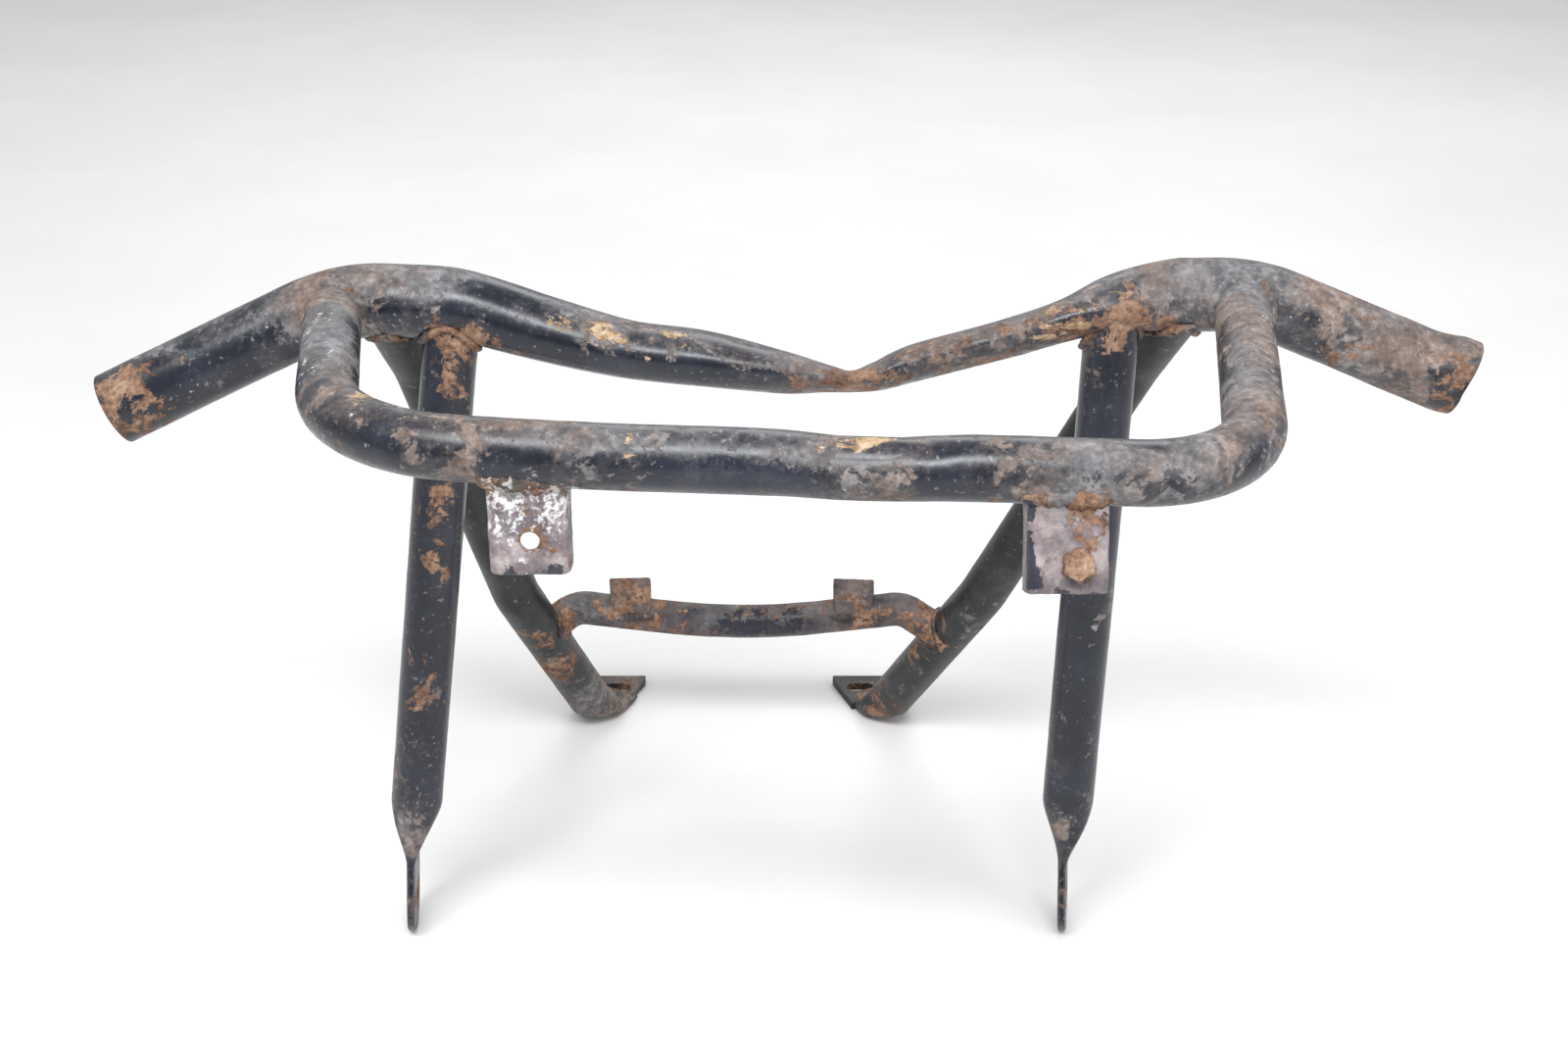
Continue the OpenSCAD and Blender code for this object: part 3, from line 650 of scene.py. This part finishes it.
DUST = [  # dry dirt and flaked grey paint
    ((-203, -60, 338), 34, 0.55), ((-203, -20, 334), 22, 0.8), ((-150, -140, 342), 34, 0.4),
    ((-110, -170, 318), 28, 0.4), ((208, -60, 338), 38, 0.7), ((208, -20, 334), 24, 0.8),
    ((190, -140, 334), 36, 0.6), ((150, -180, 318), 34, 0.45), ((86, -182, 322), 26, 0.3),
    ((-60, -168, 341), 30, 0.45), ((0, -168, 341), 36, 0.3), ((190, 0, 344), 34, 0.7),
    ((250, -4, 330), 40, 0.55), ((280, -10, 316), 30, 0.5), ((-190, 0, 344), 34, 0.45),
    ((-250, -4, 318), 40, 0.2), ((-190, -40, 70), 34, 0.6), ((-192, -38, 24), 26, 0.6),
    ((144, -38, 40), 34, 0.45), ((144, -34, 80), 24, 0.2), ((-119, 150, 20), 40, 0.85),
    ((-105, 183, 4), 22, 0.6), ((0, 0, 296), 36, 0.3), ((60, -4, 300), 46, 0.5),
    ((110, -4, 318), 40, 0.5), ((-20, 120, 95), 60, 0.15), ((20, -182, 326), 26, 0.35),
    ((46, -182, 320), 14, 0.4), ((-170, 0, 340), 20, 0.5), ((-97, -176, 305), 26, 0.35),
    ((106, -190, 300), 26, 0.5),
]
SCUFF = [  # pale slanting scrapes
    ((-207, -50, 338), 26, 0.62), ((-200, -100, 336), 26, 0.62), ((-180, -140, 326), 24, 0.5),
    ((-150, -158, 322), 24, 0.4), ((212, -50, 332), 30, 0.6), ((206, -100, 328), 30, 0.6),
    ((190, -150, 322), 30, 0.55), ((-270, -14, 300), 26, 0.4), ((-230, -8, 316), 22, 0.45),
    ((-178, -14, 326), 18, 0.5), ((-106, -174, 316), 13, 1.0), ((-84, -174, 316), 13, 1.0),
    ((-107, -175, 302), 8, 0.8), ((-87, -175, 306), 7, 0.6), ((-100, -177, 288), 7, 0.5),
    ((30, -184, 316), 16, 0.5), ((76, -184, 318), 20, 0.4), ((-20, -182, 316), 30, 0.25),
    ((240, -16, 322), 30, 0.35), ((-168, -26, 240), 24, 0.3),
]
PRIMER = [  # tan undercoat
    ((-86, -6, 318), 13, 0.85), ((-66, -6, 315), 12, 0.9), ((-46, -5, 311), 11, 0.9),
    ((-104, -8, 320), 10, 0.6), ((-30, -4, 307), 9, 0.6), ((120, -8, 322), 12, 0.85),
    ((136, -8, 328), 11, 0.8), ((152, -8, 334), 9, 0.5), ((30, -172, 338), 12, 0.9),
    ((48, -172, 338), 10, 0.75), ((14, -174, 338), 8, 0.5), ((-160, -136, 342), 14, 0.85),
    ((-142, -148, 342), 14, 0.85), ((-124, -156, 341), 10, 0.6), ((-60, -172, 340), 9, 0.5),
    ((86, -176, 334), 8, 0.5),
]
DARK = [  # dark paint that is still whole
    ((90, -183, 314), 5.5, 0.85), ((90, -187, 306), 6, 0.85), ((90, -190, 298), 6, 0.85),
    ((91, -193, 290), 7, 0.85), ((104, -196, 284), 7, 0.85), ((118, -196, 284), 7, 0.85),
    ((121, -188, 302), 5, 0.6), ((-104, -177, 286), 7, 0.6), ((-88, -177, 286), 8, 0.7),
    ((-82, -175, 300), 5, 0.5), ((-24, 114, 88), 26, 0.62), ((8, 114, 92), 20, 0.55),
    ((39, 108, 112), 10, 0.4), ((-46, -182, 328), 15, 0.72), ((-22, -182, 328), 15, 0.75),
    ((4, -182, 326), 14, 0.72), ((64, -184, 322), 12, 0.6), ((-112, -10, 304), 13, 0.62),
    ((-86, -10, 300), 14, 0.65), ((-60, -9, 297), 13, 0.6), ((-186, -146, 322), 14, 0.6),
    ((196, -150, 318), 14, 0.5), ((-216, -12, 308), 14, 0.5), ((-240, -18, 300), 16, 0.5),
]


def wear(o, rust=0.0, dust=0.0, scuff=0.0):
    """Writes how much of each wear every vertex has: a base amount and the spots above."""
    me = o.data
    co = np.empty(len(me.vertices) * 3)
    me.vertices.foreach_get("co", co)
    co = co.reshape(-1, 3) * 1000
    for key, spots, base in (("rust", RUST, rust), ("dust", DUST, dust), ("scuff", SCUFF, scuff),
                             ("primer", PRIMER, 0.0), ("dark", DARK, 0.0)):
        val = np.full(len(co), float(base))
        for c, r, amount in spots:
            w = amount * np.exp(-(np.linalg.norm(co - np.array(c, float), axis=1) / r) ** 2)
            val = 1 - (1 - val) * (1 - w)
        attr = me.attributes.new(key, "FLOAT", "POINT")
        attr.data.foreach_set("value", val.astype(np.float32))


# ---------------------------------------------------------------- finishes

BUMP_DEPTH = 0.0006


class Shader:
    """A small helper for wiring shader nodes; numbers and colours go in as they are."""

    def __init__(self, name):
        self.mat = bpy.data.materials.new(name)
        self.mat.use_nodes = True
        self.t = self.mat.node_tree
        self.t.nodes.clear()
        self.out = self.t.nodes.new("ShaderNodeOutputMaterial")
        self.bsdf = self.t.nodes.new("ShaderNodeBsdfPrincipled")
        self.t.links.new(self.bsdf.outputs[0], self.out.inputs[0])
        self.pos = self.t.nodes.new("ShaderNodeTexCoord").outputs["Object"]
        self.geo = self.t.nodes.new("ShaderNodeNewGeometry")

    def link(self, a, sock):
        if isinstance(a, (int, float, tuple, list)):
            if isinstance(a, (tuple, list)) and len(a) == 3 and sock.type == "RGBA":
                a = (*a, 1)
            sock.default_value = a
        else:
            self.t.links.new(a, sock)

    def attr(self, name):
        n = self.t.nodes.new("ShaderNodeAttribute")
        n.attribute_name = name
        return n.outputs["Fac"]

    def stretched(self, scale):
        n = self.t.nodes.new("ShaderNodeMapping")
        n.inputs["Scale"].default_value = scale
        self.link(self.pos, n.inputs[0])
        return n.outputs[0]

    def noise(self, scale, detail=6, rough=0.6, vec=None, distortion=0.0):
        n = self.t.nodes.new("ShaderNodeTexNoise")
        n.inputs["Scale"].default_value = scale
        n.inputs["Detail"].default_value = detail
        n.inputs["Roughness"].default_value = rough
        n.inputs["Distortion"].default_value = distortion
        self.link(self.pos if vec is None else vec, n.inputs["Vector"])
        return n.outputs["Fac"]

    def math(self, op, a, b):
        n = self.t.nodes.new("ShaderNodeMath")
        n.operation = op
        self.link(a, n.inputs[0])
        self.link(b, n.inputs[1])
        return n.outputs[0]

    def plus(self, a, b):
        return self.math("ADD", a, b)

    def minus(self, a, b):
        return self.math("SUBTRACT", a, b)

    def times(self, a, b):
        return self.math("MULTIPLY", a, b)

    def weighted(self, a, share_a, b, share_b):
        return self.plus(self.times(a, share_a), self.times(b, share_b))

    def step(self, x, lo, hi):
        n = self.t.nodes.new("ShaderNodeMapRange")
        n.interpolation_type = "SMOOTHSTEP"
        self.link(x, n.inputs[0])
        n.inputs[1].default_value = lo
        n.inputs[2].default_value = hi
        return n.outputs[0]

    def patch(self, field, amount, edge):
        """Hard-edged cover of the field's high places: none to all as amount goes from 0 to 1."""
        spread = self.times(self.minus(field, 0.5), 1.6)
        return self.step(self.plus(spread, self.times(amount, 0.32)), 0.16, 0.16 + edge)

    def ramp(self, x, stops):
        n = self.t.nodes.new("ShaderNodeValToRGB")
        r = n.color_ramp
        while len(r.elements) < len(stops):
            r.elements.new(0.5)
        for e, (p, c) in zip(r.elements, stops):
            e.position = p
            e.color = (*c, 1)
        self.link(x, n.inputs[0])
        return n.outputs[0]

    def mix(self, fac, a, b):
        n = self.t.nodes.new("ShaderNodeMix")
        n.data_type = "RGBA"
        self.link(fac, n.inputs[0])
        self.link(a, n.inputs[6])
        self.link(b, n.inputs[7])
        return n.outputs[2]

    def blend(self, fac, a, b):
        n = self.t.nodes.new("ShaderNodeMix")
        self.link(fac, n.inputs[0])
        self.link(a, n.inputs[2])
        self.link(b, n.inputs[3])
        return n.outputs[0]

    def bump(self, height, strength, distance):
        n = self.t.nodes.new("ShaderNodeBump")
        n.inputs["Strength"].default_value = strength
        n.inputs["Distance"].default_value = distance
        self.link(height, n.inputs["Height"])
        return n.outputs[0]

    def up(self):
        """How far the face looks up, from -1 to 1."""
        n = self.t.nodes.new("ShaderNodeSeparateXYZ")
        self.link(self.geo.outputs["Normal"], n.inputs[0])
        return n.outputs[2]


# colours by place on a noise, from its low to its high values
TONE_STOPS = (0.36, 0.50, 0.62, 0.80)
FLAKE_STOPS = (0.38, 0.48, 0.56, 0.68)
COOL_FLAKE = [(0.050, 0.050, 0.055), (0.12, 0.115, 0.12), (0.21, 0.20, 0.20), (0.36, 0.345, 0.34)]
WARM_FLAKE = [(0.065, 0.044, 0.036), (0.150, 0.105, 0.085), (0.250, 0.185, 0.150), (0.40, 0.335, 0.29)]
RUST_STOPS = (0.36, 0.47, 0.56, 0.66, 0.80)
RUST_TONES = [(0.030, 0.018, 0.014), (0.100, 0.052, 0.034), (0.215, 0.118, 0.072), (0.330, 0.215, 0.145),
              (0.430, 0.330, 0.260)]
UNDERCOAT = [(0.38, (0.20, 0.115, 0.055)), (0.5, (0.40, 0.27, 0.15)), (0.66, (0.52, 0.43, 0.32))]
STAIN, SPECK, WHOLE_PAINT = (0.088, 0.060, 0.048), (0.27, 0.25, 0.235), (0.012, 0.016, 0.030)
# greys of the pale film: dust, plus painted top light on upward faces
DUST_AND_TOP_LIGHT_GREY, CHALK_DUST_AND_TOP_LIGHT, WARMER = (0.20, 0.19, 0.185), (0.33, 0.29, 0.29), (1.08, 0.90, 0.80)


def rust_colour(s, lift):
    """Mottled rust, lightened by lift."""
    v = s.weighted(s.noise(420, 8, 0.7), 0.6, s.noise(75, 6, 0.65), 0.5)
    return s.ramp(v, [(p, tuple(min(1, c * lift) for c in tone)) for p, tone in zip(RUST_STOPS, RUST_TONES)])


def worn_paint(name, tones, bare, rough, cloud=36, rust_bias=0.0, dust_bias=0.0, sheen=0.5, lift=1.0,
               film=DUST_AND_TOP_LIGHT_GREY):
    """Old enamel over rusting steel: amounts on the vertices say how much of it each wear covers."""
    s = Shader(name)
    kinds = ("rust", "dust", "scuff", "primer", "dark")
    rust_a, dust_a, scuff_a, primer_a, dark_a = (s.attr(k) for k in kinds)
    blot = s.noise(30, 10, 0.66, distortion=0.7)
    small = s.noise(105, 9, 0.68, distortion=0.4)
    fine = s.noise(330, 8, 0.66)
    grit = s.noise(1300, 3, 0.6)
    paint = s.ramp(s.noise(cloud, 8, 0.7), list(zip(TONE_STOPS, tones)))
    # a thin pale film: dry dirt from the dust spots and noise, plus painted top light that makes upward faces
    # paler
    lying = s.step(s.up(), 0.15, 1.0)
    dust_and_top_light = s.plus(s.times(lying, 0.32), s.plus(s.times(dust_a, 0.75), dust_bias))
    dust_and_top_light = s.plus(dust_and_top_light, s.times(s.minus(blot, 0.5), 2.2))
    dust_and_top_light = s.plus(dust_and_top_light, s.times(s.minus(fine, 0.5), 0.9))
    dust_and_top_light = s.step(dust_and_top_light, 0.16, 1.15)
    tint = s.step(s.noise(17, 4, 0.6), 0.40, 0.60)
    dust_and_top_light_tone = s.mix(tint, film, tuple(c * k for c, k in zip(film, WARMER)))
    col = s.mix(s.times(dust_and_top_light, 0.80), paint, dust_and_top_light_tone)
    # flaked places with broken edges, in cool and warm greys
    # upward faces get more pale flakes: painted top light as well as wear
    cover = s.plus(s.times(dust_a, 0.75), s.plus(s.times(lying, 0.14), dust_bias + 0.05))
    field = s.weighted(blot, 0.55, small, 0.45)
    flake = s.patch(field, cover, 0.025)
    tone = s.weighted(s.noise(90, 8, 0.7), 0.6, fine, 0.4)
    cool, warm = (s.ramp(tone, list(zip(FLAKE_STOPS, greys))) for greys in (COOL_FLAKE, WARM_FLAKE))
    col = s.mix(s.times(flake, 0.80), col, s.mix(tint, cool, warm))
    # pin-head specks
    speck = s.patch(fine, s.minus(s.times(dust_a, 0.30), 0.22), 0.03)
    col = s.mix(s.times(speck, 0.55), col, SPECK)
    # rust, with a brown stain round it
    rust_field = s.weighted(s.noise(46, 11, 0.76, distortion=0.8), 0.6, small, 0.4)
    amount = s.plus(rust_a, rust_bias)
    stain = s.patch(rust_field, s.minus(s.times(amount, 1.05), 0.12), 0.10)
    rust = s.patch(rust_field, s.minus(s.times(amount, 1.1), 0.18), 0.03)
    col = s.mix(s.times(stain, 0.5), col, STAIN)
    col = s.mix(rust, col, rust_colour(s, lift))
    # tan undercoat in small hard-edged flecks
    flecks = s.noise(120, 10, 0.76, vec=s.stretched((0.55, 1.0, 1.25)), distortion=0.6)
    primer = s.patch(flecks, s.minus(s.times(primer_a, 1.05), 0.42), 0.02)
    col = s.mix(primer, col, s.ramp(fine, UNDERCOAT))
    # pale broken scuffs
    drag = s.noise(120, 10, 0.8, vec=s.stretched((2.4, 1.0, 2.8)), distortion=0.5)
    scuff = s.patch(s.weighted(drag, 0.55, fine, 0.45), s.minus(s.times(scuff_a, 0.85), 0.32), 0.014)
    col = s.mix(s.times(scuff, 0.85), col, bare)
    # places where the dark paint is whole
    kept = s.patch(field, s.minus(s.times(dark_a, 2.0), 0.6), 0.03)
    col = s.mix(s.times(kept, 0.9), col, WHOLE_PAINT)
    s.link(col, s.bsdf.inputs["Base Color"])
    # glossy where the paint is whole, dull under the pale film of dust and painted top light, flaked or
    # rusted
    dull = s.math("MAXIMUM", s.math("MAXIMUM", rust, primer), s.times(flake, 0.8))
    roughness = s.blend(dust_and_top_light, s.plus(s.times(fine, 0.16), rough), 0.55)
    roughness = s.blend(dull, roughness, 0.86)
    roughness = s.blend(kept, roughness, 0.2)
    s.link(roughness, s.bsdf.inputs["Roughness"])
    s.bsdf.inputs["Specular IOR Level"].default_value = sheen
    # rust stands proud, and flaked paint leaves a step down
    height = s.plus(s.times(fine, 0.25), s.times(rust, s.times(s.noise(620, 6, 0.7), 0.7)))
    height = s.minus(height, s.times(s.math("MAXIMUM", flake, primer), 0.30))
    height = s.plus(height, s.times(grit, s.weighted(dust_and_top_light, 0.15, dull, 0.2)))
    s.link(s.bump(height, 0.6, BUMP_DEPTH), s.bsdf.inputs["Normal"])
    return s.mat


BLUE_BLACK = [(0.0035, 0.005, 0.010), (0.007, 0.009, 0.017), (0.014, 0.017, 0.028), (0.045, 0.045, 0.055)]
GREY_BLACK = [(0.006, 0.008, 0.009), (0.014, 0.016, 0.017), (0.030, 0.030, 0.029), (0.075, 0.068, 0.062)]
PALE = (0.60, 0.59, 0.60)
gloss_black = worn_paint("worn_black_paint", BLUE_BLACK, PALE, 0.19)
dull_black = worn_paint("dull_black_paint", GREY_BLACK, (0.30, 0.29, 0.28), 0.34, dust_bias=0.05, sheen=0.35)
RUSTY = [(0.020, 0.022, 0.032), (0.085, 0.070, 0.070), (0.190, 0.145, 0.130), (0.32, 0.26, 0.235)]
bar_finish = worn_paint("rusty_bar", RUSTY, (0.34, 0.31, 0.30), 0.45, rust_bias=0.34, dust_bias=0.20,
                        lift=1.15, sheen=0.3)
CHALK = [(0.070, 0.060, 0.070), (0.175, 0.140, 0.145), (0.34, 0.285, 0.28), (0.60, 0.56, 0.55)]
bracket_finish = worn_paint("chalky_bracket", CHALK, (0.68, 0.67, 0.68), 0.45, cloud=80, dust_bias=0.06,
                            film=CHALK_DUST_AND_TOP_LIGHT)
WELD_BROWN = [(0.015, 0.013, 0.014), (0.045, 0.036, 0.034), (0.10, 0.078, 0.068), (0.20, 0.165, 0.145)]
weld_finish = worn_paint("rusty_weld", WELD_BROWN, (0.5, 0.48, 0.46), 0.45, rust_bias=0.22, dust_bias=0.15,
                         sheen=0.3)


def rusted(name, lift):
    """Rust all over, with no paint left."""
    s = Shader(name)
    s.link(rust_colour(s, lift), s.bsdf.inputs["Base Color"])
    s.link(s.plus(s.times(s.noise(200), 0.2), 0.7), s.bsdf.inputs["Roughness"])
    s.link(s.bump(s.noise(700, 8, 0.7), 0.7, BUMP_DEPTH), s.bsdf.inputs["Normal"])
    return s.mat


bolt_finish = rusted("rusty_bolt", 1.15)


def finish_piece(o, mat, slot, node, **amounts):
    """Wears and paints a piece, and lets it stand for its CAD node."""
    wear(o, **amounts)
    o.data.materials.clear()
    o.data.materials.append(mat)
    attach(o, "root")
    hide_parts(node)


finish_piece(top, gloss_black, "worn_black_paint", "top_tube", dust=0.16, rust=0.06)
finish_piece(hoop, gloss_black, "worn_black_paint", "front_hoop", dust=0.16)
for i, n in enumerate(SIDES):
    finish_piece(front_legs[i], gloss_black, "worn_black_paint", "front_leg_" + n,
                 rust=(0.14, 0.0)[i], dust=0.1)
    finish_piece(rear_legs[i], dull_black, "dull_black_paint", "rear_leg_" + n, dust=0.1)
    finish_piece(brackets[i], bracket_finish, "chalky_bracket", "hoop_bracket_" + n,
                 scuff=(0.25, 0.1)[i], rust=(0.12, 0.25)[i])
    finish_piece(bar_tabs[i], bar_finish, "rusty_bar", "bar_tab_" + n, rust=(0.3, 0.0)[i], dust=0.35)
finish_piece(cross_bar, bar_finish, "rusty_bar", "rear_cross_bar", rust=0.2)
finish_piece(bolt, bolt_finish, "rusty_bolt", "bracket_bolt")
finish_piece(nut, bolt_finish, "rusty_bolt", "bracket_nut")
for node, o in welds.items():
    finish_piece(o, weld_finish, "rusty_weld", node, rust=0.1)

# ---------------------------------------------------------------- floor and light

FLOOR_W = 60
FLOOR_PALE = [(0.3, (0.76, 0.745, 0.72)), (0.7, (0.82, 0.805, 0.785))]
bpy.ops.mesh.primitive_plane_add(size=FLOOR_W, location=(0, 0, 0))
floor = bpy.context.object
floor.name = "floor"
floor_finish = Shader("floor")
floor_finish.link(floor_finish.ramp(floor_finish.noise(3, 6, 0.6), FLOOR_PALE),
                  floor_finish.bsdf.inputs["Base Color"])
floor_finish.bsdf.inputs["Roughness"].default_value = 0.7
floor.data.materials.append(floor_finish.mat)


def lamp(name, size, power, place, colour=(1, 1, 1)):
    """A soft oblong lamp that points at the middle of the guard."""
    d = bpy.data.lights.new(name, "AREA")
    d.shape = "RECTANGLE"
    d.size, d.size_y = size
    d.energy = power
    d.color = colour
    o = bpy.data.objects.new(name, d)
    bpy.context.scene.collection.objects.link(o)
    o.location = place
    o.rotation_euler = (Vector(AIM) - Vector(place)).to_track_quat("-Z", "Y").to_euler()


AIM = (0, 0, 0.2)
lamp("key", (1.5, 0.45), 40, (-0.25, -1.0, 1.75), (0.95, 0.97, 1.0))
lamp("fill", (1.2, 1.2), 12, (1.4, -1.1, 1.2), (0.93, 0.96, 1.0))
lamp("back", (1.6, 0.8), 16, (0.2, 1.9, 1.6))
world = bpy.data.worlds.new("world")
bpy.context.scene.world = world
world.use_nodes = True
bg = world.node_tree.nodes["Background"]
bg.inputs[0].default_value = (0.94, 0.96, 1.0, 1)
bg.inputs[1].default_value = 0.62
